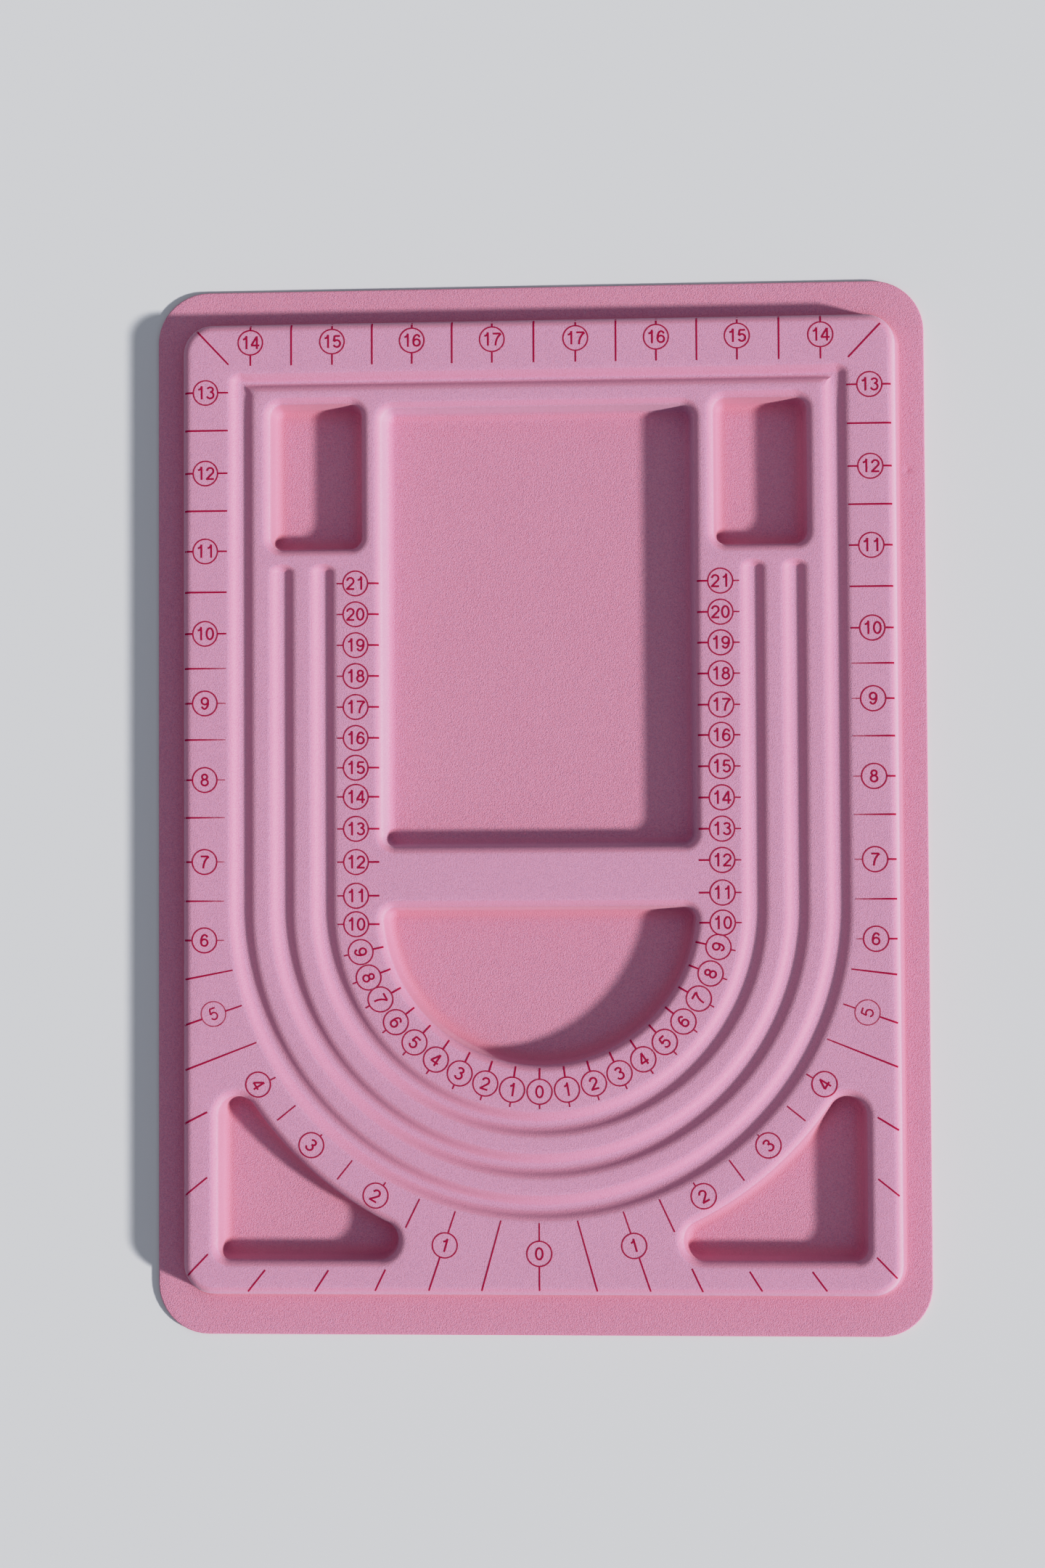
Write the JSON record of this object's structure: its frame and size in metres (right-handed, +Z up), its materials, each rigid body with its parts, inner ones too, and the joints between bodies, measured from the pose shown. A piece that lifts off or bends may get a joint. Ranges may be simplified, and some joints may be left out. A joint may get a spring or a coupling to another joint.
{
  "type": "bead board",
  "caption": "Flat formed board with a flocked face, nested U-shaped channels for laying out strands, shallow trays for loose beads and a flange that rests on a table.",
  "frame": {"origin": "on the table plane, under the middle of the flange's outline", "axes": "+X across the board, +Y from the round end of the channels to the square end, +Z up from the table"},
  "size_m": [0.25, 0.34, 0.012],
  "materials": {
    "styrene": "satin thermoformed sheet",
    "flock": "short velour flock"
  },
  "bodies": {
    "root": {"formed_shell": "styrene", "flock_layer": "flock"}
  },
  "joints": []
}
